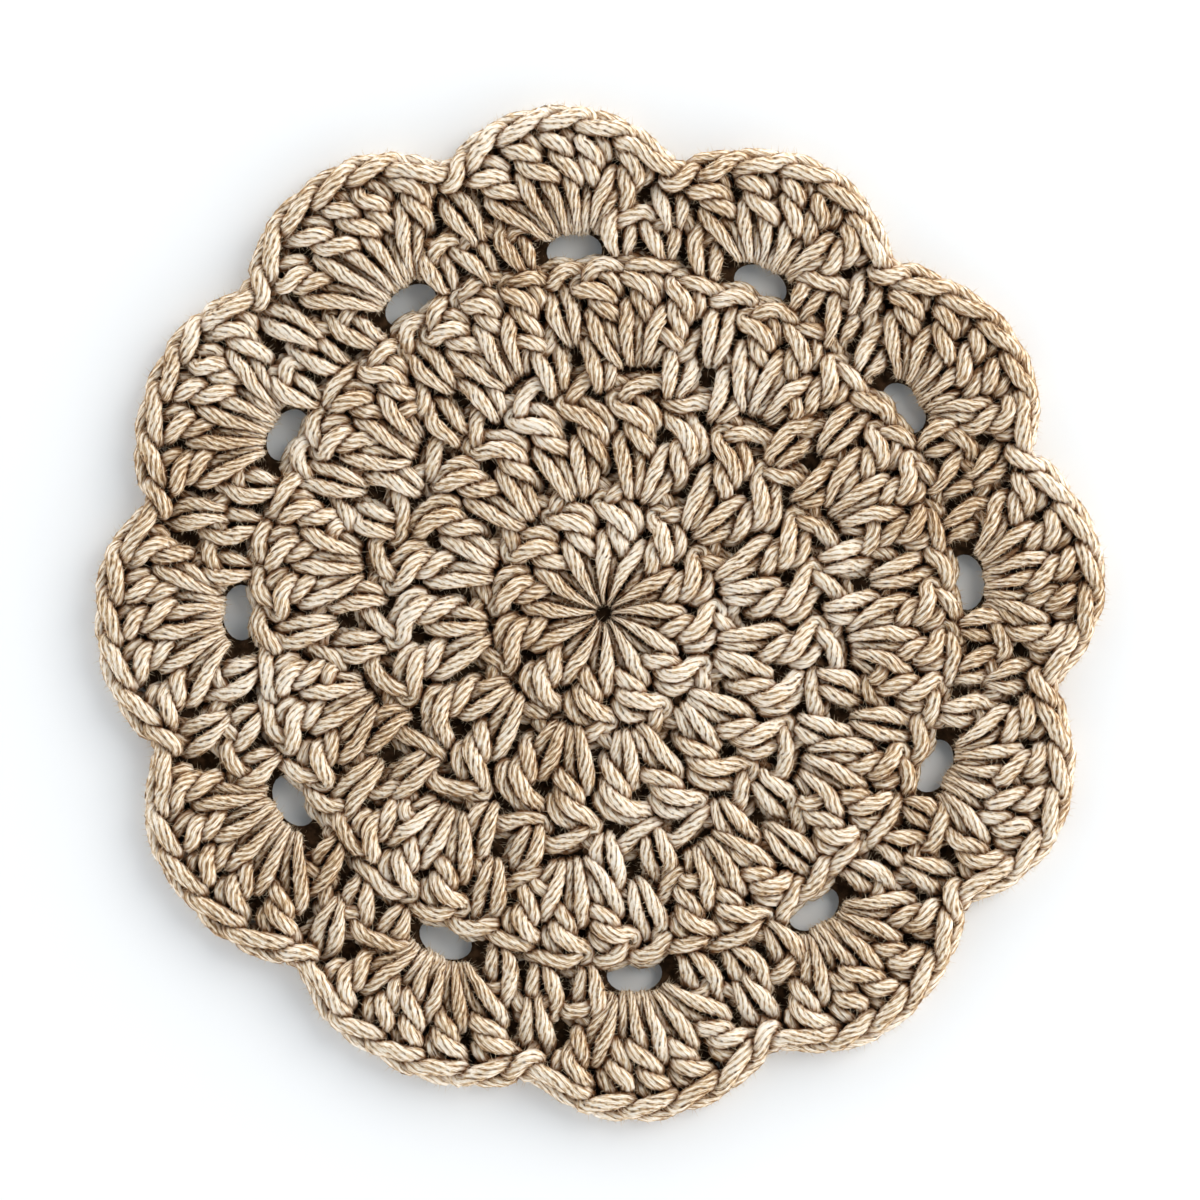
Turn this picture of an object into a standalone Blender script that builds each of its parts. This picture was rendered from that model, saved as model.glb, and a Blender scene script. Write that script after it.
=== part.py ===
"""A round lace doily crocheted in one thick cotton yarn, lying flat.

It is worked from the centre outwards in six rounds, and the sixth is twelve fans
that scallop the rim. An eyelet opens under each fan. The cloth is one piece, so it is
one closed solid: its underside is flat on z = 0, its top carries every stitch as a
raised ridge, and the eyelets go right through. The origin is the centre of its box,
at the underside. Units are metres.
"""

import math
from collections import namedtuple

import bmesh
import bpy
import numpy as np

MM = 0.001

# Driving dimensions
YARN = 2.5 * MM
THICKNESS = 2 * YARN
RIM_HEIGHT = 1.4 * YARN
RIM_UNDERCUT = 0.4 * YARN
EYELET_WIDTH = 6.8 * MM
EYELET_DEPTH = 4.2 * MM
EYELET_SIDES = 16
RIM_STEPS_PER_SCALLOP = 9
YARN_COLOUR = (0.58, 0.44, 0.29, 1.0)

# The twelve scallops, counterclockwise from the one beside +X. The eyelet's place,
# the tip of the fan and the notch that follows it: degrees, then millimetres from
# the centre of the rounds.
Scallop = namedtuple("Scallop", "eyelet_deg eyelet_mm tip_deg tip_mm notch_deg notch_mm")
SCALLOPS = (
    Scallop(4.8, 53.4, 3.0, 74.0, 21.0, 67.6),
    Scallop(34.3, 52.9, 35.0, 72.5, 50.0, 66.8),
    Scallop(64.5, 53.2, 66.0, 73.3, 80.0, 66.9),
    Scallop(94.7, 54.1, 94.0, 75.2, 108.0, 70.8),
    Scallop(122.2, 55.1, 123.0, 77.4, 137.0, 72.6),
    Scallop(150.7, 53.5, 152.0, 75.4, 166.0, 70.2),
    Scallop(180.0, 53.8, 181.0, 75.2, 196.0, 70.0),
    Scallop(211.2, 52.8, 211.0, 75.6, 231.0, 70.0),
    Scallop(244.1, 52.8, 245.0, 73.4, 259.0, 70.0),
    Scallop(274.8, 53.4, 274.0, 75.2, 290.0, 69.5),
    Scallop(305.3, 53.9, 305.0, 74.4, 320.0, 68.8),
    Scallop(335.0, 53.5, 336.0, 74.6, 352.0, 67.3),
)
SCALLOP_COUNT = len(SCALLOPS)

# One ring of points across a round: how far out it lies in the round, the height of
# the stitches and of the grooves between them as parts of the thickness, and how far
# the stitches have leaned to the next one there, in stitches.
Ring = namedtuple("Ring", "out stitch groove lean")
TALL_STITCH = (
    Ring(0.00, 0.66, 0.52, 0.0),
    Ring(0.22, 0.92, 0.66, 0.0),
    Ring(0.55, 0.98, 0.70, 0.0),
    Ring(0.82, 1.00, 0.80, 0.35),
)
SHORT_STITCH = (
    Ring(0.00, 0.66, 0.52, 0.0),
    Ring(0.35, 0.92, 0.66, 0.0),
    Ring(0.75, 0.96, 0.70, 0.35),
)
FAN_STITCH = (
    Ring(0.00, 0.68, 0.54, 0.0),
    Ring(0.20, 0.92, 0.66, 0.0),
    Ring(0.46, 0.98, 0.70, 0.0),
    Ring(0.66, 1.00, 0.78, 0.35),
    Ring(0.84, 0.98, 0.84, 0.35),
    Ring(0.97, 0.86, 0.72, 0.65),
)

# The rounds from the centre outwards: outer radius in millimetres, how far that edge
# swells between the eyelets, stitches in each scallop's share, points across a
# stitch, how much the stitches close up where they start, and their rings.
Round = namedtuple("Round", "outer_mm swell_mm stitches points gather rings")
ROUNDS = (
    Round(16.3, 0.0, 1, 4, 0.0, TALL_STITCH),
    Round(32.0, 0.0, 2, 4, 0.0, TALL_STITCH),
    Round(38.0, 0.0, 4, 2, 0.0, SHORT_STITCH),
    Round(50.0, 1.0, 4, 3, -0.06, TALL_STITCH),
    Round(57.2, 0.0, 4, 3, 0.0, SHORT_STITCH),
    Round(None, 0.0, 6, 3, 0.09, FAN_STITCH),
)
CENTRE_HEIGHT = 0.55 * THICKNESS
HOLE_RADIUS = 1.2 * MM


def direction(turn):
    """The angle at a place counted in scallops, 0 at the first eyelet and 1 at the next."""
    eyelets = [s.eyelet_deg for s in SCALLOPS] + [SCALLOPS[0].eyelet_deg + 360.0]
    whole = math.floor(turn / SCALLOP_COUNT)
    within = turn - whole * SCALLOP_COUNT
    return math.radians(float(np.interp(within, range(SCALLOP_COUNT + 1), eyelets)) + 360.0 * whole)


def rim_radius(angle):
    """The scalloped outline: round at each tip, sharper at each notch."""
    degrees = math.degrees(angle) % 360.0
    stations = []
    for s in SCALLOPS:
        stations += [(s.tip_deg, s.tip_mm, True), (s.notch_deg, s.notch_mm, False)]
    if degrees < stations[0][0]:
        degrees += 360.0
    stations.append((stations[0][0] + 360.0, stations[0][1], True))
    for (deg_a, mm_a, is_tip), (deg_b, mm_b, _) in zip(stations, stations[1:]):
        if deg_a <= degrees <= deg_b:
            share = (degrees - deg_a) / (deg_b - deg_a)
            from_notch = 1.0 - share if is_tip else share
            tip, notch = (mm_a, mm_b) if is_tip else (mm_b, mm_a)
            return (notch + (tip - notch) * math.sin(from_notch * math.pi / 2) ** 0.85) * MM
    raise ValueError("the scallops leave a gap in the outline")


def edge_radius(number, turn):
    """The outer edge of a round; -1 is the small hole the first round is worked into."""
    if number < 0:
        return HOLE_RADIUS
    row = ROUNDS[number]
    if row.outer_mm is None:
        return rim_radius(direction(turn))
    return (row.outer_mm - row.swell_mm * math.cos(2 * math.pi * turn)) * MM


def stitch_ring(number, ring):
    """The points of one ring of a round, ridge by ridge."""
    row = ROUNDS[number]
    count = SCALLOP_COUNT * row.stitches * row.points
    points = []
    for i in range(count):
        turn = i * SCALLOP_COUNT / count
        gathered = turn - row.gather * (1.0 - ring.out) * math.sin(2 * math.pi * turn)
        across = (i / row.points + ring.lean) % 1.0
        ridge = math.sqrt(abs(math.sin(math.pi * across)))
        inner = edge_radius(number - 1, gathered)
        radius = inner + (edge_radius(number, gathered) - inner) * ring.out
        angle = direction(gathered)
        height = (ring.groove + (ring.stitch - ring.groove) * ridge) * THICKNESS
        points.append((radius * math.cos(angle), radius * math.sin(angle), height))
    return points


def rim_ring(count, inset, height):
    """A plain ring that follows the scalloped outline at a height."""
    points = []
    for i in range(count):
        angle = direction(i * SCALLOP_COUNT / count)
        radius = rim_radius(angle) - inset
        points.append((radius * math.cos(angle), radius * math.sin(angle), height))
    return points


def join_rings(bm, inner, outer):
    """Faces between two rings of vertices, which may have different counts."""
    i = j = 0
    while i < len(inner) or j < len(outer):
        next_i = (i + 1) * len(outer)
        next_j = (j + 1) * len(inner)
        a, b = inner[i % len(inner)], outer[j % len(outer)]
        c, d = outer[(j + 1) % len(outer)], inner[(i + 1) % len(inner)]
        if next_i == next_j:
            bm.faces.new((a, b, c, d))
            i, j = i + 1, j + 1
        elif next_i < next_j:
            bm.faces.new((a, b, d))
            i += 1
        else:
            bm.faces.new((a, b, c))
            j += 1


def cloth_mesh():
    """The doily without its eyelets: raised top, rounded rim, flat underside."""
    rings = [stitch_ring(n, ring) for n in range(len(ROUNDS)) for ring in ROUNDS[n].rings]
    rim_count = SCALLOP_COUNT * RIM_STEPS_PER_SCALLOP
    rings.append(rim_ring(rim_count * 2, 0.0, RIM_HEIGHT - YARN / 2))
    rings.append(rim_ring(rim_count, RIM_UNDERCUT, 0.0))
    bm = bmesh.new()
    loops = [[bm.verts.new(point) for point in ring] for ring in rings]
    centre = bm.verts.new((0.0, 0.0, CENTRE_HEIGHT))
    first = loops[0]
    for i, vertex in enumerate(first):
        bm.faces.new((centre, vertex, first[(i + 1) % len(first)]))
    for inner, outer in zip(loops, loops[1:]):
        join_rings(bm, inner, outer)
    bm.faces.new(reversed(loops[-1]))
    bmesh.ops.recalc_face_normals(bm, faces=bm.faces)
    mesh = bpy.data.meshes.new("doily")
    bm.to_mesh(mesh)
    bm.free()
    return mesh


def eyelet_cutter():
    """Twelve oval prisms, longer than the cloth is thick, one for each eyelet."""
    bm = bmesh.new()
    for s in SCALLOPS:
        made = bmesh.ops.create_circle(bm, cap_ends=True, segments=EYELET_SIDES, radius=0.5)
        angle = math.radians(s.eyelet_deg)
        cos, sin = math.cos(angle), math.sin(angle)
        for vertex in made["verts"]:
            out = vertex.co.x * EYELET_DEPTH + s.eyelet_mm * MM
            side = vertex.co.y * EYELET_WIDTH
            vertex.co = (out * cos - side * sin, out * sin + side * cos, -THICKNESS)
        face = made["verts"][0].link_faces[0]
        raised = bmesh.ops.extrude_face_region(bm, geom=[face], use_keep_orig=True)
        top = [v for v in raised["geom"] if isinstance(v, bmesh.types.BMVert)]
        bmesh.ops.translate(bm, verts=top, vec=(0.0, 0.0, 3 * THICKNESS))
    bmesh.ops.recalc_face_normals(bm, faces=bm.faces)
    mesh = bpy.data.meshes.new("eyelet_cutter")
    bm.to_mesh(mesh)
    bm.free()
    cutter = bpy.data.objects.new("eyelet_cutter", mesh)
    bpy.context.scene.collection.objects.link(cutter)
    cutter.hide_render = True
    cutter.display_type = "WIRE"
    return cutter


def cotton():
    """Unbleached cotton yarn, dull and beige."""
    material = bpy.data.materials.new("cotton_yarn")
    material.use_nodes = True
    shader = material.node_tree.nodes["Principled BSDF"]
    shader.inputs["Base Color"].default_value = YARN_COLOUR
    shader.inputs["Roughness"].default_value = 0.95
    shader.inputs["Metallic"].default_value = 0.0
    return material


def centre_on_box(*meshes):
    """Moves the meshes so that the first one's box is centred on the origin in plan."""
    xs = [v.co.x for v in meshes[0].vertices]
    ys = [v.co.y for v in meshes[0].vertices]
    shift = ((min(xs) + max(xs)) / 2, (min(ys) + max(ys)) / 2)
    for mesh in meshes:
        for vertex in mesh.vertices:
            vertex.co.x -= shift[0]
            vertex.co.y -= shift[1]


def build():
    for obj in list(bpy.data.objects):
        bpy.data.objects.remove(obj, do_unlink=True)
    doily = bpy.data.objects.new("doily", cloth_mesh())
    bpy.context.scene.collection.objects.link(doily)
    doily.data.materials.append(cotton())
    cutter = eyelet_cutter()
    centre_on_box(doily.data, cutter.data)
    cut = doily.modifiers.new("eyelets", "BOOLEAN")
    cut.operation = "DIFFERENCE"
    cut.object = cutter
    cut.solver = "EXACT"


build()
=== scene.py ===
# %% [markdown]
# # A crocheted lace doily in thick cotton yarn
#
# The doily is one long cotton yarn, looped through itself with a hook in six rounds.
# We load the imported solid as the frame: it gives the place and the size. Then we
# work the doily stitch by stitch as the maker does, so every strand that crosses
# over another one on the real cloth also crosses over it here.

# %% Load the frame
import math
from collections import namedtuple

import bpy
import numpy as np
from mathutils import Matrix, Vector, kdtree


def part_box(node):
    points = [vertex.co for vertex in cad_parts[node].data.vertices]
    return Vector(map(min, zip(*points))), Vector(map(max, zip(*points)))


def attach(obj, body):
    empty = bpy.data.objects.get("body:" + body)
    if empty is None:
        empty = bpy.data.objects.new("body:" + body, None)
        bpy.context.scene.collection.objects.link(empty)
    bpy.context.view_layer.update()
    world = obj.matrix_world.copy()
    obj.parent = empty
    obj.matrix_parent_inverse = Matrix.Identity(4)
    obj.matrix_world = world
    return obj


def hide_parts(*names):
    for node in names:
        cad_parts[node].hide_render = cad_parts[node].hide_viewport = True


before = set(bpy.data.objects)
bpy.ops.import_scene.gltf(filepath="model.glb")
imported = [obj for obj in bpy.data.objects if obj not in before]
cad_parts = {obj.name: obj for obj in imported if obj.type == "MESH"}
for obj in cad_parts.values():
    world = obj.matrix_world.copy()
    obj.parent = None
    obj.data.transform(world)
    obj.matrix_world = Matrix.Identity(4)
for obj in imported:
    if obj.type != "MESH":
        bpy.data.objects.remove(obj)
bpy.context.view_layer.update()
low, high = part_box("doily")
print("doily solid, mm:", [round((high[i] - low[i]) * 1000, 1) for i in range(3)])

# %% [markdown]
# ## Sizes
#
# Everything below is written in millimetres and in yarn widths, because a crocheter
# thinks that way: the hook and the yarn set the size of every stitch. The photograph
# shows the doily from straight above.

# %% Sizes
MM = 0.001
YARN = 2.5                      # mm, width of the yarn as it lies in a stitch
SEED = 7


def deselect_all():
    for obj in bpy.context.selected_objects:
        obj.select_set(False)
    bpy.context.view_layer.objects.active = None


# %% [markdown]
# ## Camera
#
# The camera looks straight down. Its distance is far enough to keep the rim from
# leaning outwards, and the field of view is worked out from the width that the
# picture covers.

# %% Camera
PICTURE_WIDTH = 0.1776          # m of table across the picture
CAMERA_HEIGHT = 0.80            # m above the table
PICTURE_CENTRE = (0.0, 0.0019)  # the doily sits a little low in the picture

deselect_all()
bpy.ops.object.camera_add(location=(*PICTURE_CENTRE, CAMERA_HEIGHT), rotation=(0, 0, 0))
camera = bpy.context.object
camera.name = "camera_above"
camera.data.lens_unit = "FOV"
camera.data.angle = 2 * math.atan(PICTURE_WIDTH / 2 / CAMERA_HEIGHT)
camera.data.clip_start = 0.01
bpy.context.scene.camera = camera

# %% [markdown]
# ## Table and light
#
# The table is a plain, nearly white sheet. A pale room lights everything evenly, and
# one large window to the upper right adds the soft shadow at the lower left.

# %% Table and light
deselect_all()
bpy.ops.mesh.primitive_plane_add(size=3.0, location=(0, 0, low[2] - 0.00005))
floor = bpy.context.object
floor.name = "table_top"

WINDOW_PLACE = Vector((0.90, 0.54, 0.93))
bpy.ops.object.light_add(type="AREA", location=WINDOW_PLACE)
window = bpy.context.object
window.name = "window_light"
window.data.shape = "SQUARE"
window.data.size = 0.9
window.data.energy = 8.1
window.data.color = (1.0, 0.95, 0.88)
window.rotation_euler = (-WINDOW_PLACE).to_track_quat("-Z", "Y").to_euler()

bpy.context.scene.view_settings.view_transform = "Standard"
print("window, m above the table:", WINDOW_PLACE.z)

# %% [markdown]
# ## Colours
#
# Colours are given as hex values and turned to the linear numbers that
# Blender's shaders use. One small function adds every node.

# %% Colour and node helpers


def linear(hex_colour):
    """An sRGB hex colour as the linear colour that a shader takes."""
    values = [int(hex_colour[i:i + 2], 16) / 255 for i in (1, 3, 5)]
    return [v / 12.92 if v <= 0.04045 else ((v + 0.055) / 1.055) ** 2.4 for v in values] + [1.0]


def add_node(tree, kind, settings=None, links=None):
    """Adds a node, sets its properties or inputs, and links its inputs.

    An input goes by its name, or by its number where several share a name.
    """
    node = tree.nodes.new(kind)
    for key, value in (settings or {}).items():
        if isinstance(key, str) and hasattr(node, key):
            setattr(node, key, value)
        else:
            node.inputs[key].default_value = value
    for key, source in (links or {}).items():
        tree.links.new(source, node.inputs[key])
    return node


def new_material(name):
    material = bpy.data.materials.new(name)
    material.use_nodes = True
    return material, material.node_tree, material.node_tree.nodes["Principled BSDF"]


table_paint, tree, shader = new_material("white_laminate")
shader.inputs["Base Color"].default_value = linear("#F6F8FA")
shader.inputs["Roughness"].default_value = 0.6
floor.data.materials.append(table_paint)

# %% [markdown]
# ## The room
#
# The room is brightest low on the window's side and dimmer overhead and behind, so
# the tops of the strands are lit and little light falls straight into the gaps. What
# falls there comes from the bluish ceiling, which tints the table in the eyelets.

# %% The room
room = bpy.data.worlds.new("pale_room")
bpy.context.scene.world = room
room.use_nodes = True
background = room.node_tree.nodes["Background"]
way = add_node(room.node_tree, "ShaderNodeTexCoord")
towards_window = add_node(room.node_tree, "ShaderNodeVectorMath",
                          {"operation": "DOT_PRODUCT", 1: (0.87, 0.50, 0.0)},
                          {0: way.outputs["Generated"]})
side_light = add_node(room.node_tree, "ShaderNodeMapRange",
                      {"From Min": -0.6, "From Max": 1.0, "To Min": 1.5, "To Max": 2.25},
                      {"Value": towards_window.outputs["Value"]})
split_way = add_node(room.node_tree, "ShaderNodeSeparateXYZ",
                     links={"Vector": way.outputs["Generated"]})
overhead = add_node(room.node_tree, "ShaderNodeMapRange",
                    {"From Min": 0.35, "From Max": 0.87, "To Min": 1.28, "To Max": 0.07},
                    {"Value": split_way.outputs["Z"]})
room_light = add_node(room.node_tree, "ShaderNodeMath", {"operation": "MULTIPLY"},
                      {0: side_light.outputs["Result"], 1: overhead.outputs["Result"]})
room.node_tree.links.new(room_light.outputs[0], background.inputs["Strength"])
ceiling = add_node(room.node_tree, "ShaderNodeMapRange", {"From Min": 0.5, "From Max": 0.85},
                   {"Value": split_way.outputs["Z"]})
room_colour = add_node(room.node_tree, "ShaderNodeMix",
                       {"data_type": "RGBA", 6: (1.0, 0.965, 0.945, 1.0), 7: (0.62, 0.84, 1.0, 1.0)},
                       {0: ceiling.outputs["Result"]})
room.node_tree.links.new(room_colour.outputs[2], background.inputs["Color"])

# %% [markdown]
# ## Cotton yarn
#
# The yarn is eight thin plies of unbleached cotton laid round each other. Painted
# shade darkens the groove between two plies, so every ply keeps a bright cream crest,
# and where two plies part, short dashes of painted shade, about 1 mm apart and never
# side by side, stand for the dark gap. Fine fibres streak each ply lengthwise. The
# cotton is matte; where the strands crowd together and no light reaches, painted
# shade turns it deep brown. The pattern follows the yarn: U is mm along it, V goes
# once round it.

# %% Cotton yarn
PLIES = 8
cotton, tree, shader = new_material("unbleached_cotton_yarn")
uv = add_node(tree, "ShaderNodeUVMap")
place = add_node(tree, "ShaderNodeSeparateXYZ", links={"Vector": uv.outputs["UV"]})
along, around = place.outputs["X"], place.outputs["Y"]

# The plies wander a little: 0 on a crest, 0.5 in the groove between two of them.
wander = add_node(tree, "ShaderNodeTexNoise", {"noise_dimensions": "1D", "Scale": 0.35, "Detail": 1.0},
                  {"W": along})
straight = add_node(tree, "ShaderNodeMath", {"operation": "MULTIPLY", 1: float(PLIES)}, {0: around})
plies = add_node(tree, "ShaderNodeMath", {"operation": "MULTIPLY_ADD", 1: 1.1},
                 {0: wander.outputs["Fac"], 2: straight.outputs[0]})
groove = add_node(tree, "ShaderNodeMath", {"operation": "PINGPONG", 1: 0.5}, {0: plies.outputs[0]})
ply_number = add_node(tree, "ShaderNodeMath", {"operation": "FLOOR"}, {0: plies.outputs[0]})

# Dashes of painted shade where two plies part, each groove with its own.
dash_place = add_node(tree, "ShaderNodeCombineXYZ", links={"X": ply_number.outputs[0], "Y": along})
dash_scale = add_node(tree, "ShaderNodeVectorMath", {"operation": "MULTIPLY", 1: (3.7, 1.45, 1)},
                      {0: dash_place.outputs["Vector"]})
dash_noise = add_node(tree, "ShaderNodeTexNoise", {"Scale": 1.0, "Detail": 1.0},
                      {"Vector": dash_scale.outputs["Vector"]})
dash_part = add_node(tree, "ShaderNodeMapRange", {"From Min": 0.46, "From Max": 0.7},
                     {"Value": dash_noise.outputs["Fac"]})
dash_line = add_node(tree, "ShaderNodeMapRange", {"From Min": 0.22, "From Max": 0.46},
                     {"Value": groove.outputs[0]})
dash = add_node(tree, "ShaderNodeMath", {"operation": "MULTIPLY"},
                {0: dash_part.outputs["Result"], 1: dash_line.outputs["Result"]})

# The fibres: 0.1 mm wide streaks about 1 mm long.
fibre_place = add_node(tree, "ShaderNodeCombineXYZ", links={"X": around, "Y": along})
fibre_scale = add_node(tree, "ShaderNodeVectorMath", {"operation": "MULTIPLY", 1: (62, 1.1, 1)},
                       {0: fibre_place.outputs["Vector"]})
fibres = add_node(tree, "ShaderNodeTexNoise", {"Scale": 1.0, "Detail": 3.0},
                  {"Vector": fibre_scale.outputs["Vector"]})

# The tone: fibres and slow patches over the cloth, less painted shade in the groove.
coordinates = add_node(tree, "ShaderNodeTexCoord")
patches = add_node(tree, "ShaderNodeTexNoise", {"Scale": 90.0, "Detail": 2.0},
                   {"Vector": coordinates.outputs["Object"]})
patchy = add_node(tree, "ShaderNodeMath", {"operation": "MULTIPLY", 1: 0.6},
                  {0: patches.outputs["Fac"]})
streaked = add_node(tree, "ShaderNodeMath", {"operation": "MULTIPLY_ADD", 1: 1.5},
                    {0: fibres.outputs["Fac"], 2: patchy.outputs[0]})
tone = add_node(tree, "ShaderNodeMath", {"operation": "MULTIPLY_ADD", 1: -0.75},
                {0: groove.outputs[0], 2: streaked.outputs[0]})
body = add_node(tree, "ShaderNodeValToRGB", links={"Fac": tone.outputs[0]})
body.color_ramp.elements[0].position = 0.46
body.color_ramp.elements[0].color = linear("#674A33")
body.color_ramp.elements[1].position = 1.0
body.color_ramp.elements[1].color = linear("#FFF6E8")
for position, colour in ((0.66, "#AA8359"), (0.84, "#E2C9A3")):
    body.color_ramp.elements.new(position).color = linear(colour)
# The dashes take the dark brown of painted shade.
dashed = add_node(tree, "ShaderNodeMix", {"data_type": "RGBA", 7: linear("#573D2A")},
                  {0: dash.outputs[0], 6: body.outputs["Color"]})

# Painted shade between the strands, stored on the mesh further down.
shade = add_node(tree, "ShaderNodeAttribute", {"attribute_name": "shade"})
shade_tint = add_node(tree, "ShaderNodeValToRGB", links={"Fac": shade.outputs["Fac"]})
shade_tint.color_ramp.elements[0].position = 0.0
shade_tint.color_ramp.elements[0].color = linear("#FFFFFF")
shade_tint.color_ramp.elements[1].position = 0.88
shade_tint.color_ramp.elements[1].color = linear("#2A1B11")
shade_tint.color_ramp.elements.new(0.4).color = linear("#99765A")
# Multiplying by this tint paints the shade into the yarn's colour.
shaded = add_node(tree, "ShaderNodeMix", {"data_type": "RGBA", "blend_type": "MULTIPLY", 0: 1.0},
                  {6: dashed.outputs[2], 7: shade_tint.outputs["Color"]})
tree.links.new(shaded.outputs[2], shader.inputs["Base Color"])

relief = add_node(tree, "ShaderNodeMath", {"operation": "MULTIPLY_ADD", 1: -1.6},
                  {0: dash.outputs[0], 2: fibres.outputs["Fac"]})
bump = add_node(tree, "ShaderNodeBump", {"Strength": 0.8, "Distance": 0.0001},
                {"Height": relief.outputs[0]})
tree.links.new(bump.outputs["Normal"], shader.inputs["Normal"])
shader.inputs["Roughness"].default_value = 0.9
shader.inputs["Specular IOR Level"].default_value = 0.2

# %% [markdown]
# ## Painted shade sheet
#
# Deep between the strands there is only shade. A sheet painted the near-black brown
# of that shade stands there, so the eye meets no bright table.

# %% Painted shade sheet
# The sheet's near-black browns are painted shade, not the yarn's own colour.
shade_sheet_paint, tree, shader = new_material("painted_shade_sheet")
sheet_noise = add_node(tree, "ShaderNodeTexNoise", {"Scale": 900.0, "Detail": 3.0},
                     {"Vector": add_node(tree, "ShaderNodeTexCoord").outputs["Object"]})
sheet_shade_colour = add_node(tree, "ShaderNodeValToRGB", links={"Fac": sheet_noise.outputs["Fac"]})
sheet_shade_colour.color_ramp.elements[0].position = 0.4
sheet_shade_colour.color_ramp.elements[0].color = linear("#241910")
sheet_shade_colour.color_ramp.elements[1].position = 0.7
sheet_shade_colour.color_ramp.elements[1].color = linear("#443122")
tree.links.new(sheet_shade_colour.outputs["Color"], shader.inputs["Base Color"])
shader.inputs["Roughness"].default_value = 1.0
shader.inputs["Specular IOR Level"].default_value = 0.0

# %% [markdown]
# ## The pattern
#
# The doily has twelve scallops, and hand work makes each one a little different.
# This table says where each one's eyelet lies, and how far its fan and the notch
# after it reach. Everything else is written once, for one scallop, in degrees from
# its eyelet and millimetres from the centre.

# %% The twelve scallops
Scallop = namedtuple("Scallop", "eyelet_deg tip_mm notch_mm")
SCALLOPS = (
    Scallop(4.8, 74.0, 67.6),
    Scallop(34.3, 72.9, 66.8),
    Scallop(64.5, 73.5, 66.9),
    Scallop(94.7, 75.2, 70.8),
    Scallop(122.2, 77.4, 72.6),
    Scallop(150.7, 75.4, 70.2),
    Scallop(180.0, 75.2, 70.0),
    Scallop(211.2, 75.6, 70.0),
    Scallop(244.1, 73.4, 70.0),
    Scallop(274.8, 75.2, 69.5),
    Scallop(305.3, 74.4, 68.8),
    Scallop(335.0, 74.6, 67.3),
)
SCALLOP_DEG = 360 / len(SCALLOPS)
PATTERN_TIP = 75.2              # mm, reach of a fan in the chart below
PATTERN_NOTCH = 68.6            # mm, reach of a notch in the chart below
FAN_START = 56.5                # mm, where the last round begins


def plan(scallop, degrees, radius):
    """The place in the plane of the cloth, in mm, of a point of the chart."""
    turn = scallop + degrees / SCALLOP_DEG
    whole = math.floor(turn)
    here = SCALLOPS[whole % len(SCALLOPS)]
    after = SCALLOPS[(whole + 1) % len(SCALLOPS)]
    gap = (after.eyelet_deg - here.eyelet_deg) % 360
    share = turn - whole
    angle = math.radians(here.eyelet_deg + gap * share)
    near_tip = 0.5 + 0.5 * math.cos(2 * math.pi * share)
    nearest = here if share < 0.5 else after
    tip_reach = (nearest.tip_mm - FAN_START) / (PATTERN_TIP - FAN_START)
    notch_reach = (here.notch_mm - FAN_START) / (PATTERN_NOTCH - FAN_START)
    reach = near_tip * tip_reach + (1 - near_tip) * notch_reach
    if radius > FAN_START:
        radius = FAN_START + (radius - FAN_START) * reach
    return np.array((radius * math.cos(angle), radius * math.sin(angle)))


# %% [markdown]
# ## The chart
#
# A crochet chart lists the stitches of a round in working order. Each row says what
# the stitch is, where it is worked into (base), where its drawn-up loop ends (tip),
# and where its top loop starts (top). Swell is how far the next round pulls that top
# loop outwards, and spread how far its two strands lie apart.

# %% The chart of one scallop
Stitch = namedtuple("Stitch", "kind base_deg base_mm tip_deg tip_mm top_deg top_mm swell spread")
ROUND_1 = (
    Stitch("tall", -8.7, 1.3, -8.7, 12.9, -1.7, 16.1, 3.6, 1.4),
)
ROUND_2 = (
    Stitch("tall", 4.3, 17.4, 2.3, 27.0, 8.3, 31.3, 3.6, 1.4),
    Stitch("tall", 10.3, 17.5, 18.3, 27.8, 22.5, 31.5, 3.6, 1.4),
)
ROUND_3 = (
    Stitch("short", -4.8, 32.5, -4.0, 39.4, -1.5, 40.1, 0.9, 1.4),
    Stitch("chain", 0, 0, 0, 0, 4.8, 42.4, 0.4, 1.4),
    Stitch("short", 7.6, 32.6, 8.2, 39.0, 11.5, 39.9, 0.9, 1.4),
    Stitch("chain", 0, 0, 0, 0, 17.8, 42.4, 0.4, 1.4),
)
ROUND_4 = (
    Stitch("tall", -14.4, 37.0, -16.9, 47.0, -15.7, 50.0, 1.2, 1.5),
    Stitch("tall", -11.3, 36.5, -9.9, 47.4, -7.1, 50.4, 0.9, 1.5),
    Stitch("tall", -8.7, 36.2, -2.4, 46.0, 0.1, 48.0, 2.2, 1.5),
    Stitch("short", 1.8, 39.8, 4.2, 47.4, 6.4, 48.4, 0.6, 1.5),
)
ROUND_5 = (
    Stitch("short", -21.7, 50.8, -19.8, 56.9, -17.2, 56.9, 1.4, 1.5),
    Stitch("short", -14.9, 51.7, -13.1, 57.2, -11.2, 57.3, 1.2, 1.5),
    Stitch("short", -7.3, 51.8, -6.8, 57.6, -4.0, 57.3, 0.3, 1.4),
    Stitch("chain", 0, 0, 0, 0, 1.0, 57.5, 0.2, 1.4),
    Stitch("chain", 0, 0, 0, 0, 5.6, 57.0, 1.0, 1.4),
)
ROUND_6 = (
    Stitch("short", -15.0, 57.6, -13.3, 63.2, -13.3, 65.6, 0.0, 1.5),
    Stitch("tall", -3.2, 57.1, -7.0, 66.8, -6.4, 70.4, 0.0, 1.9),
    Stitch("tall", -1.2, 56.8, -1.4, 67.4, -1.7, 71.9, 0.0, 1.9),
    Stitch("tall", 0.6, 56.8, 2.3, 68.1, 3.3, 71.6, 0.0, 1.9),
    Stitch("tall", 2.3, 56.6, 6.6, 66.5, 8.5, 69.8, 0.0, 1.9),
    Stitch("tall", 3.9, 56.2, 12.0, 63.4, 13.8, 66.4, 0.0, 1.2),
)
Round = namedtuple("Round", "name stitches base_width loop_height")
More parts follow.
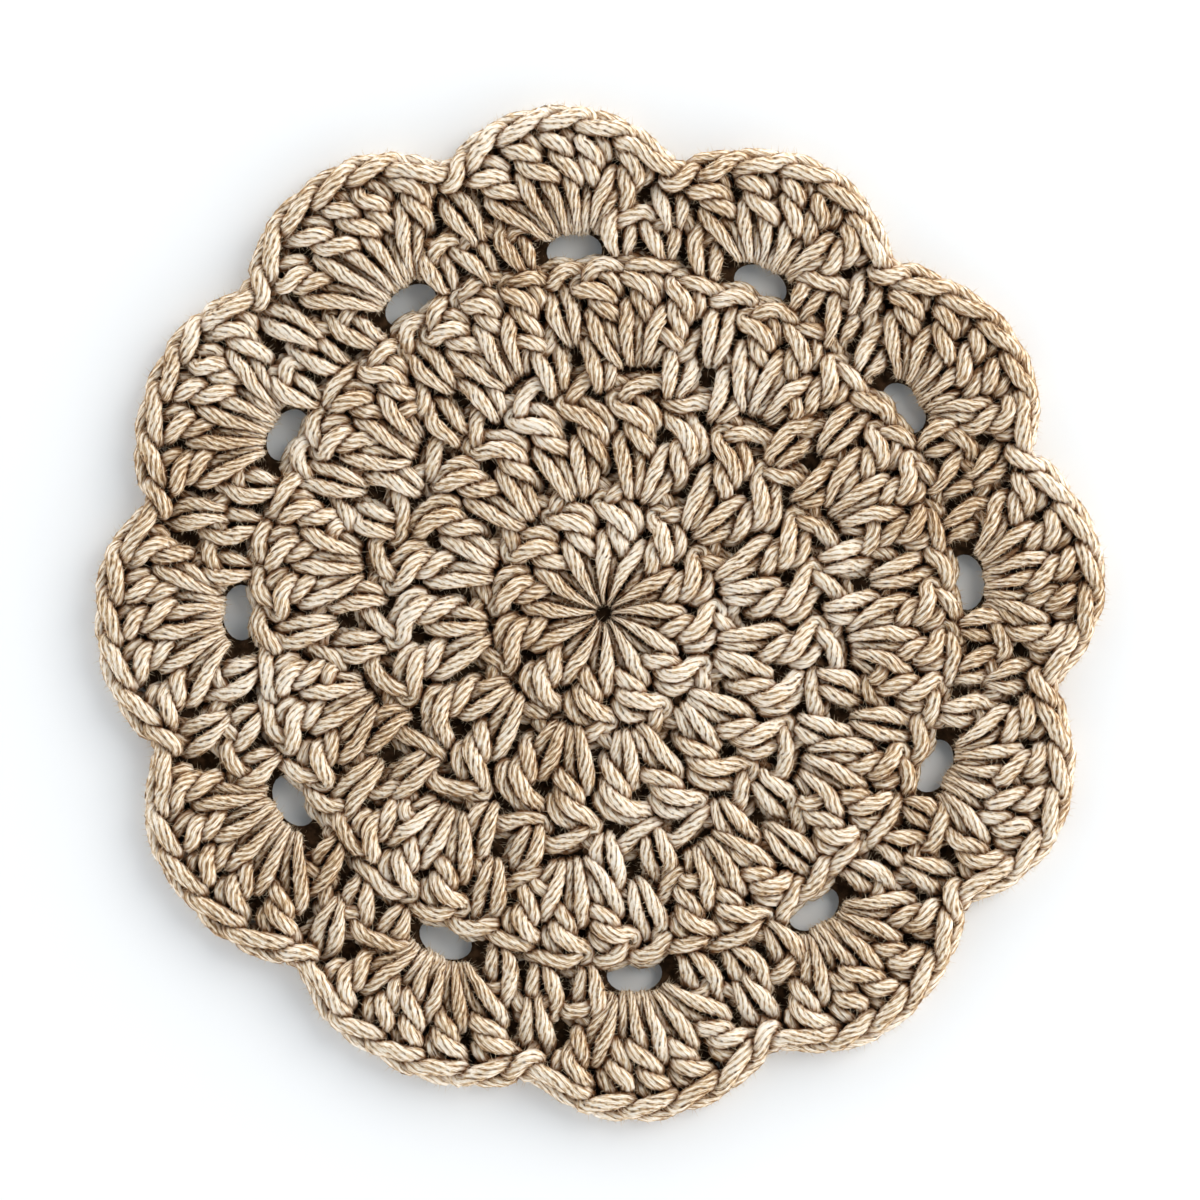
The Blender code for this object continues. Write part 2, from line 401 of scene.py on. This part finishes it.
ROUNDS = (
    Round("round_1", ROUND_1, 0.42, 0.9),
    Round("round_2", ROUND_2, 0.75, 0.9),
    Round("round_3", ROUND_3, 0.75, 0.85),
    Round("round_4", ROUND_4, 0.70, 0.95),
    Round("round_5", ROUND_5, 0.62, 0.85),
    Round("round_6", ROUND_6, 0.60, 1.45),
)
CHAIN_HEIGHT = 0.6              # yarn widths; the next round's stitches go over a chain
stitch_count = sum(len(r.stitches) for r in ROUNDS) * len(SCALLOPS)
print("stitches, chains among them:", stitch_count)

# %% [markdown]
# ## How the yarn runs through a stitch
#
# A tall stitch (a double crochet) is: wrap the yarn over the hook, go into the round
# below, draw up a loop, draw a second loop through it, and a third through that. The
# third loop is the top of the stitch. The tables follow the yarn through these
# steps. Station 0 is the base of the stitch, 1 the tip of its drawn-up loop and 2
# its top. Side (positive towards the next stitch), out and height are yarn widths.

# %% The run of the yarn
Run = namedtuple("Run", "station side out height")
TALL = (
    Run(1.0, -1.3, 0.9, 0.5),      # the wrap, from behind the head of the stitch
    Run(1.0, -0.3, 0.55, 0.95),
    Run(1.0, -0.15, -0.1, 1.5),
    Run(1.0, -0.55, -0.75, 1.8),
    Run(1.0, -0.95, -1.35, 1.7),
    Run(1.0, -1.3, -1.9, 1.1),
    Run(1.0, -1.2, -2.3, 0.45),
    Run(0.2, -0.5, 0.0, 0.45),
    Run(0.0, 0.1, -0.4, 0.5),      # through the round below
    Run(0.0, 0.35, 0.1, 1.0),
    Run(0.0, 0.42, 0.7, 1.75),     # the drawn-up loop, first strand
    Run(0.5, 0.45, 0.0, 1.65),
    Run(1.0, 0.5, -0.9, 1.45),
    Run(1.0, 0.25, -0.15, 1.1),    # its tip, tucked under the loops above
    Run(1.0, -0.25, -0.35, 0.85),
    Run(1.0, -0.45, -1.1, 0.85),
    Run(0.6, -0.5, 0.0, 1.05),
    Run(0.35, -0.48, 0.0, 1.3),    # and its second strand, a little deeper
    Run(0.0, -0.42, 0.7, 1.45),
    Run(0.0, -0.35, 0.1, 0.9),
    Run(0.0, -0.3, -0.4, 0.5),
    Run(0.4, -0.7, 0.0, 0.45),
    Run(1.0, -1.0, -1.4, 0.45),
    Run(1.0, -1.35, -0.8, 0.95),   # the second loop, lower strand
    Run(1.0, -1.05, -0.2, 1.65),
    Run(1.0, -0.5, 0.4, 2.0),
    Run(1.0, 0.05, 0.85, 1.75),
    Run(2.0, -0.1, -0.35, 1.1),
    Run(2.0, 0.25, 0.15, 0.5),     # its end, down in the hole of the next round
    Run(2.0, 0.1, 0.5, 0.5),
    Run(2.0, -0.6, 0.4, 0.8),      # and its upper strand
    Run(1.0, -0.9, 1.15, 1.25),
    Run(1.0, -1.5, 0.75, 1.55),
    Run(1.0, -1.75, 0.0, 1.4),
    Run(1.0, -1.5, -0.6, 0.95),
    Run(1.0, -0.8, 0.2, 0.45),
    Run(2.0, -0.2, -0.1, 0.55),
)
SHORT = (
    Run(1.0, -0.9, 0.2, 0.45),
    Run(0.3, -0.6, 0.0, 0.45),
    Run(0.0, 0.1, -0.4, 0.5),
    Run(0.0, 0.4, 0.1, 1.0),
    Run(0.0, 0.5, 0.6, 1.75),
    Run(0.6, 0.54, 0.0, 1.65),
    Run(1.0, 0.6, -0.1, 1.2),
    Run(1.0, 0.6, 0.6, 0.6),       # the tip of the loop, far under the top loops
    Run(1.0, 0.35, 1.3, 0.5),
    Run(1.0, -0.25, 1.3, 0.5),
    Run(1.0, -0.6, 0.6, 0.55),
    Run(1.0, -0.62, -0.2, 1.05),
    Run(0.4, -0.55, 0.0, 1.5),
    Run(0.0, -0.5, 0.6, 1.55),
    Run(0.0, -0.4, 0.1, 1.0),
    Run(0.0, -0.4, -0.4, 0.5),
    Run(0.6, -0.5, 0.0, 0.45),
    Run(2.0, -0.2, -0.1, 0.5),
)
CHAIN = (
    Run(2.0, -0.5, 0.0, 0.5),
)
RUNS = {"tall": TALL, "short": SHORT, "chain": CHAIN}
# The top loop, from the top of one stitch (0) to the top of the next (1): along the
# edge, the share of the swell and of the spread, and the height over the loop's own.
Loop = namedtuple("Loop", "along swell spread rise")
TOP_LOOP = (
    Loop(-0.18, 0.25, 0.4, -0.65),
    Loop(0.0, 0.6, 0.6, -0.05),
    Loop(0.15, 0.95, 0.7, 0.35),
    Loop(0.3, 1.0, 0.55, 0.4),
    Loop(0.6, 0.7, 0.25, 0.35),
    Loop(0.88, 0.25, 0.0, 0.1),
    Loop(1.05, 0.05, 0.1, -0.5),
    Loop(1.1, 0.1, 0.4, -0.85),
    Loop(1.0, 0.3, 0.8, -0.8),
    Loop(0.75, 0.7, 1.1, -0.5),
    Loop(0.4, 1.0, 1.15, -0.4),
    Loop(0.1, 0.9, 1.05, -0.6),
    Loop(-0.1, 0.4, 0.7, -0.85),
)


def left_of(vector):
    return np.array((-vector[1], vector[0]))


def stitch_points(row, scallop, after, round_row, rng):
    """Control points of one stitch and its top loop: x, y, z in mm and a width share."""
    jitter = 0.16 * YARN
    top = plan(scallop, row.top_deg, row.top_mm)
    after_top = plan(scallop + after[0], after[1].top_deg, after[1].top_mm)
    chain_way = after_top - top
    chain_length = np.linalg.norm(chain_way)
    outward = left_of(chain_way / chain_length) * -1
    if row.kind == "chain":
        base = tip = top
        stem = outward
    else:
        base = plan(scallop, row.base_deg, row.base_mm)
        tip = plan(scallop, row.tip_deg, row.tip_mm)
        stem = (tip - base) / np.linalg.norm(tip - base)
    side = left_of(stem)
    points = []
    loop_height = CHAIN_HEIGHT if row.kind == "chain" else round_row.loop_height
    for run in RUNS[row.kind]:
        width = 1.0
        if run.station < 2:
            anchor = base + (tip - base) * run.station
            width = round_row.base_width + (1 - round_row.base_width) * min(1, run.station * 1.6)
        else:
            anchor = top
        place = anchor + YARN * (side * run.side * width + stem * run.out)
        wobble = rng.normal(0, 1, 2) * jitter * 0.5
        points.append((*(place + wobble * width), run.height * YARN, width))
    for loop in TOP_LOOP:
        place = top + chain_way * loop.along
        place = place + outward * (row.swell * loop.swell + row.spread * loop.spread)
        place = place + rng.normal(0, 1, 2) * jitter * 0.4
        points.append((*place, (loop_height + loop.rise) * YARN, 1.0))
    return points


def round_points(round_row, rng):
    points = []
    rows = round_row.stitches
    for scallop in range(len(SCALLOPS)):
        for i, row in enumerate(rows):
            after = (0, rows[i + 1]) if i + 1 < len(rows) else (1, rows[0])
            points += stitch_points(row, scallop, after, round_row, rng)
    return np.array(points)


def smooth_closed(points, spacing):
    """A closed Catmull-Rom curve through the points, then evenly spaced points on it."""
    p0, p1 = np.roll(points, 1, 0), points
    p2, p3 = np.roll(points, -1, 0), np.roll(points, -2, 0)
    steps = np.linspace(0, 1, 8, endpoint=False)[:, None, None]
    fine = 0.5 * (2 * p1 + (p2 - p0) * steps + (2 * p0 - 5 * p1 + 4 * p2 - p3) * steps ** 2
                  + (3 * p1 - p0 - 3 * p2 + p3) * steps ** 3)
    fine = fine.transpose(1, 0, 2).reshape(-1, points.shape[1])
    closed = np.vstack((fine, fine[:1]))
    run = np.concatenate(([0], np.cumsum(np.linalg.norm(np.diff(closed[:, :3], axis=0), axis=1))))
    count = int(round(run[-1] / spacing))
    at = np.arange(count) * run[-1] / count
    return np.column_stack([np.interp(at, run, closed[:, k]) for k in range(points.shape[1])])


rng = np.random.default_rng(SEED)
BEAD = 0.9                      # mm between the points of a settled strand
paths = [smooth_closed(round_points(r, rng), BEAD) for r in ROUNDS]
for r, path in zip(ROUNDS, paths):
    print(r.name, "yarn, m:", round(len(path) * BEAD * MM, 2))

# %% [markdown]
# ## Let the yarn settle
#
# Drawn as they are, the strands would run into each other. Real strands push each
# other aside and lie on the table, so we treat the yarn as a string of soft beads:
# beads that overlap move apart, neighbours on the string keep it smooth, and every
# bead is drawn gently back to its place in the pattern.

# %% Settle the yarn
SETTLE_STEPS = 60
SOFTNESS = 0.86                 # share of the yarn's width at which strands push
HIDDEN_SIZE = 0.7               # share of its width that a strand inside the cloth keeps
OWN_STRETCH = 3                 # beads of its own strand that a bead doesn't push
CEILING = 2.05 * YARN
HOLD_HIDDEN, HOLD_SHOWN = 0.015, 0.06  # pull towards home in plan, a strand inside and the rest
HOLD_HEIGHT = 0.045             # the same pull up and down
PUSH = 0.35                     # share of an overlap that one step takes away
LARGEST_STEP = 0.25             # mm that a bead may be pushed in one step
SMOOTHING = 0.2                 # share of the way to its neighbours' middle
SEARCH = 1.25 * YARN            # reach within which beads are paired
PAIR_AGAIN = 10                 # steps between two searches for pairs


def near_pairs(points, owner, reach):
    """Beads closer than the reach, without near neighbours on the same strand."""
    tree = kdtree.KDTree(len(points))
    for i, p in enumerate(points):
        tree.insert(p, i)
    tree.balance()
    first, second = [], []
    for i, p in enumerate(points):
        for _, j, _ in tree.find_range(p, reach):
            if j > i:
                first.append(i)
                second.append(j)
    first, second = np.array(first), np.array(second)
    same = owner[first] == owner[second]
    close = same & (second - first <= OWN_STRETCH)
    return first[~close], second[~close]


def settle(paths):
    points = np.vstack([p[:, :3] for p in paths])
    shown = np.clip((points[:, 2] / YARN - 0.9) / 0.5, 0, 1)
    sideways = HOLD_HIDDEN + HOLD_SHOWN * shown
    hold = np.column_stack((sideways, sideways, np.full(len(points), HOLD_HEIGHT)))
    give = 1.15 - 0.65 * shown
    lowest = np.concatenate([p[:, 3] for p in paths]) * YARN / 2
    radius = lowest * SOFTNESS * (HIDDEN_SIZE + (1 - HIDDEN_SIZE) * shown)
    owner = np.concatenate([np.full(len(p), k) for k, p in enumerate(paths)])
    home = points.copy()
    starts = np.cumsum([0] + [len(p) for p in paths])
    before, after = np.arange(len(points)) - 1, np.arange(len(points)) + 1
    for a, b in zip(starts, starts[1:]):
        before[a], after[b - 1] = b - 1, a
    for step in range(SETTLE_STEPS):
        if step % PAIR_AGAIN == 0:
            first, second = near_pairs(points, owner, SEARCH)
        gap = points[first] - points[second]
        distance = np.linalg.norm(gap, axis=1) + 1e-9
        wanted = radius[first] + radius[second]
        push = np.clip(wanted - distance, 0, None) / distance * PUSH
        move = gap * push[:, None]
        shift = np.zeros_like(points)
        for k in range(3):
            shift[:, k] += np.bincount(first, move[:, k] * give[first], len(points))
            shift[:, k] -= np.bincount(second, move[:, k] * give[second], len(points))
        length = np.linalg.norm(shift, axis=1)
        shift *= np.minimum(1, LARGEST_STEP / (length + 1e-9))[:, None]
        points += shift
        points += ((points[before] + points[after]) / 2 - points) * SMOOTHING
        points += (home - points) * hold
        points[:, 2] = np.clip(points[:, 2], lowest, CEILING)
    for k, (a, b) in enumerate(zip(starts, starts[1:])):
        paths[k] = np.column_stack((points[a:b], paths[k][:, 3]))
    return paths


paths = settle(paths)
print("beads:", sum(len(p) for p in paths))

# %% [markdown]
# ## From path to yarn
#
# Each round becomes a curve. Its bevel profile is the yarn's cross-section with one
# lobe for each ply, and the tilt along the curve lays the plies in a slow twist. The
# last round is long, so it is made in two halves whose ends meet out of sight.

# %% Yarn from the paths
PLY_DEPTH = 0.21                # share of the radius between a ply's crest and the groove
TWIST_MM = 17.0                 # mm of yarn in one full turn of the plies
RING_SPACING = 0.82             # mm between the points of the curve
BODY = 1.04                     # share of the nominal width that the strand fills


def ply_profile():
    deselect_all()
    bpy.ops.curve.primitive_bezier_circle_add(radius=1.0)
    profile = bpy.context.object
    profile.name = "ply_profile"
    profile.data.splines.clear()
    poly = profile.data.splines.new("POLY")
    poly.points.add(PLIES * 2 - 1)
    for i, point in enumerate(poly.points):
        angle = -math.pi * i / PLIES
        radius = BODY * YARN / 2 * MM * (1 - PLY_DEPTH * (i % 2))
        point.co = (radius * math.cos(angle), radius * math.sin(angle), 0, 1)
    poly.use_cyclic_u = True
    profile.data.dimensions = "2D"
    return profile


def yarn_piece(name, path, profile, shift, closed):
    """A strand along the path, with mm along the yarn in its UV map."""
    curve = bpy.data.curves.new(name, "CURVE")
    curve.dimensions = "3D"
    curve.bevel_mode = "OBJECT"
    curve.bevel_object = profile
    curve.use_fill_caps = not closed
    curve.twist_mode = "MINIMUM"
    spline = curve.splines.new("POLY")
    count = len(path)
    spline.points.add(count - 1)
    co = np.ones((count, 4))
    co[:, :3] = path[:, :3] * MM + shift
    spline.points.foreach_set("co", co.ravel())
    spline.points.foreach_set("radius", path[:, 3])
    turns = round(count * RING_SPACING / TWIST_MM)
    spline.points.foreach_set("tilt", np.linspace(0, 2 * math.pi * turns, count))
    spline.use_cyclic_u = closed
    spline.use_smooth = True
    piece = bpy.data.objects.new(name, curve)
    bpy.context.scene.collection.objects.link(piece)
    deselect_all()
    piece.select_set(True)
    bpy.context.view_layer.objects.active = piece
    bpy.ops.object.convert(target="MESH")
    piece = bpy.context.object
    piece.data.materials.clear()
    piece.data.materials.append(cotton)
    layer = piece.data.uv_layers[0]
    uv = np.zeros(len(layer.uv) * 2)
    layer.uv.foreach_get("vector", uv)
    uv = uv.reshape(-1, 2)
    uv[:, 0] *= count * RING_SPACING
    layer.uv.foreach_set("vector", uv.ravel())
    print(name, "triangles:", sum(len(p.vertices) - 2 for p in piece.data.polygons))
    return piece


xy = np.vstack([p[:, :2] for p in paths])
middle = (xy.min(0) + xy.max(0)) / 2 * MM
shift = np.array(((low[0] + high[0]) / 2 - middle[0], (low[1] + high[1]) / 2 - middle[1], low[2]))
profile = ply_profile()
pieces = []
for r, path in zip(ROUNDS[:-1], paths):
    pieces.append(yarn_piece(r.name, smooth_closed(path, RING_SPACING), profile, shift, True))
last = smooth_closed(paths[-1], RING_SPACING)
half = len(last) // 2
lowest = half + int(np.argmin(last[half:half + 60, 2]))
start = int(np.argmin(last[:60, 2]))
last = np.roll(last, -start, 0)
lowest -= start
pieces.append(yarn_piece("round_6_first", last[:lowest + 1], profile, shift, False))
pieces.append(yarn_piece("round_6_second", np.vstack((last[lowest:], last[:1])), profile, shift, False))
bpy.data.objects.remove(profile, do_unlink=True)

# %% [markdown]
# ## The shade sheet inside
#
# A thin sheet, painted dark brown as shade, fills the middle of the cloth between the
# strands. It is a disc with the scalloped outline, drawn in under the rim, and with an
# oval cut for each eyelet.

# %% The shade sheet
SHEET_LOW, SHEET_HIGH = 0.9, 1.9    # mm over the table
SHEET_TIP, SHEET_NOTCH = 70.5, 63.5  # mm, its reach at the fans and between them
SHEET_POINTS = 216
OVAL = (5.6, 8.2)               # mm, each cut: along and across the radius
OVAL_CENTRE = 53.6              # mm from the centre

deselect_all()
bpy.ops.mesh.primitive_cylinder_add(vertices=SHEET_POINTS, radius=MM, depth=(SHEET_HIGH - SHEET_LOW) * MM)
shade_sheet = bpy.context.object
shade_sheet.name = "inner_shade_sheet"
for vertex in shade_sheet.data.vertices:
    turn = math.atan2(vertex.co.y, vertex.co.x) / math.tau * len(SCALLOPS)
    share = abs(turn - round(turn)) * 2
    reach = SHEET_NOTCH + (SHEET_TIP - SHEET_NOTCH) * (1 - share ** 2)
    x, y = plan(0, turn * SCALLOP_DEG, reach)
    z = vertex.co.z + low[2] + (SHEET_LOW + SHEET_HIGH) / 2 * MM
    vertex.co = (x * MM + shift[0], y * MM + shift[1], z)
cutters = []
for number in range(len(SCALLOPS)):
    x, y = plan(number, 0, OVAL_CENTRE)
    deselect_all()
    bpy.ops.mesh.primitive_cylinder_add(
        vertices=24, radius=MM / 2, depth=10 * MM, location=(x * MM + shift[0], y * MM + shift[1], 0),
        rotation=(0, 0, math.atan2(y, x)), scale=(OVAL[0], OVAL[1], 1))
    cutters.append(bpy.context.object)
for cutter in cutters:
    cutter.select_set(True)
bpy.context.view_layer.objects.active = cutters[0]
bpy.ops.object.join()
cutter = bpy.context.object
cut = shade_sheet.modifiers.new("eyelets", "BOOLEAN")
cut.operation = "DIFFERENCE"
cut.object = cutter
cut.solver = "EXACT"
deselect_all()
shade_sheet.select_set(True)
bpy.context.view_layer.objects.active = shade_sheet
bpy.ops.object.modifier_apply(modifier=cut.name)
bpy.data.objects.remove(cutter, do_unlink=True)
shade_sheet.data.materials.append(shade_sheet_paint)
print("mat, mm:", [round(d * 1000, 1) for d in shade_sheet.dimensions])

# %% [markdown]
# ## Painted shade between the strands
#
# Light hardly reaches where strands crowd, so shade is painted there into the yarn's
# colour, dark brown. We mark every small cube of space that holds yarn, even the marks
# out, and read them a little in front of each point: much yarn there means darker
# painted shade. Depth under the cloth's surface adds to it.

# %% Painted shade
CUBE = 0.5                      # mm
FRONT = 1.0                     # mm in front of the surface where the yarn is counted
OPEN, CROWDED = 0.12, 0.62      # shares of filled cubes that give no shade and full shade
LEVEL = 0.8                     # mm under the surface where depth begins to tell
DEEP = 2.4                      # mm under it where the shade is full


def vertex_array(piece, what):
    values = np.zeros(len(piece.data.vertices) * 3)
    if what == "normal":
        piece.data.vertex_normals.foreach_get("vector", values)
    else:
        piece.data.vertices.foreach_get("co", values)
        values /= MM
    return values.reshape(-1, 3)


def evened(grid, rounds, axes):
    """Each cell becomes the mean of itself and its neighbours, some times over."""
    for _ in range(rounds):
        for axis in axes:
            grid = (np.roll(grid, 1, axis) + grid + np.roll(grid, -1, axis)) / 3
    return grid


def store_shade(pieces):
    points = np.vstack([vertex_array(p, "co") for p in pieces])
    normals = np.vstack([vertex_array(p, "normal") for p in pieces])
    start = points.min(0) - 4
    size = np.ceil((points.max(0) + 4 - start) / CUBE).astype(int)

    def cube(place):
        return tuple(((place - start) / CUBE).astype(int).T)

    filled = np.zeros(size)
    for inside in (0.1, 0.5, 1.0):
        filled[cube(points - normals * inside)] = 1
    crowd = evened(filled, 2, (0, 1, 2))[cube(points + normals * FRONT)]
    crowd = np.clip((crowd - OPEN) / (CROWDED - OPEN), 0, 1)
    x, y, _ = cube(points)
    depths = []
    for sign in (1, -1):
        surface = np.full(size[:2], np.mean(points[:, 2] * sign))
        np.maximum.at(surface, (x, y), points[:, 2] * sign)
        depths.append(evened(surface, 4, (0, 1))[x, y] - points[:, 2] * sign)
    deep = np.clip((np.minimum(*depths) - LEVEL) / (DEEP - LEVEL), 0, 1)
    dark = 1 - (1 - crowd) * (1 - 0.8 * deep)
    done = 0
    for piece in pieces:
        count = len(piece.data.vertices)
        attribute = piece.data.attributes.new("shade", "FLOAT", "POINT")
        attribute.data.foreach_set("value", dark[done:done + count])
        done += count
    print("crowding, depth and shade, mean:", [round(float(v.mean()), 2) for v in (crowd, deep, dark)])
    return points, normals, dark


points, normals, dark = store_shade(pieces)

# %% [markdown]
# ## Fuzz
#
# Cotton yarn is never quite smooth: short fibres stand off it and soften its outline,
# most of all round the rim. Each fibre is a thin spike of three faces with its root in
# the yarn. They stand only where they show.

# %% Fuzz
FIBRES = 60000
FIBRE_LENGTH = (0.5, 1.5)       # mm
FIBRE_WIDTH = 0.07              # mm, at the root, a few fibres together
RIM = 66.0                      # mm from the middle, outside which fibres stand closer

fibre_cotton, tree, shader = new_material("loose_cotton_fibres")
shader.inputs["Base Color"].default_value = linear("#D9C5A8")
shader.inputs["Roughness"].default_value = 1.0
shader.inputs["Specular IOR Level"].default_value = 0.0


def fuzz(name, points, normals, dark):
    centre = (points.min(0) + points.max(0)) / 2
    reach = np.hypot(points[:, 0] - centre[0], points[:, 1] - centre[1])
    chance = np.clip(0.75 - dark, 0, 1) ** 2 * np.where(reach > RIM, 2.5, 1.0) * (normals[:, 2] > -0.4)
    rooted = rng.choice(len(points), FIBRES, replace=False, p=chance / chance.sum())
    root, out = points[rooted] - normals[rooted] * 0.1, normals[rooted]
    way = out * 0.7 + rng.normal(0, 0.55, (FIBRES, 3))
    way /= np.linalg.norm(way, axis=1)[:, None]
    across = np.cross(way, rng.normal(0, 1, (FIBRES, 3)))
    across /= np.linalg.norm(across, axis=1)[:, None]
    other = np.cross(way, across)
    length = rng.uniform(*FIBRE_LENGTH, FIBRES)[:, None]
    corners = [root + (across * math.cos(a) + other * math.sin(a)) * FIBRE_WIDTH / 2
               for a in (0, math.tau / 3, 2 * math.tau / 3)]
    tip = root + way * length
    tip[:, 2] = np.maximum(tip[:, 2], 0.1)
    co = np.stack((*corners, tip), 1).reshape(-1, 3) * MM
    first = np.arange(FIBRES)[:, None] * 4
    faces = np.hstack((first, first + 1, first + 3, first + 1, first + 2, first + 3,
                       first + 2, first, first + 3)).reshape(-1, 3)
    mesh = bpy.data.meshes.new(name)
    mesh.from_pydata(co.tolist(), [], faces.tolist())
    piece = bpy.data.objects.new(name, mesh)
    bpy.context.scene.collection.objects.link(piece)
    mesh.materials.append(fibre_cotton)
    print(name, "triangles:", len(mesh.polygons))
    return piece


loose_fibres = fuzz("loose_fibres", points, normals, dark)

# %% [markdown]
# ## Hand over
#
# Every piece rides on the root body and stands in its place, and the solid doily is
# hidden.

# %% Hand over
for piece in [*pieces, shade_sheet, loose_fibres]:
    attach(piece, "root")
    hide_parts("doily")
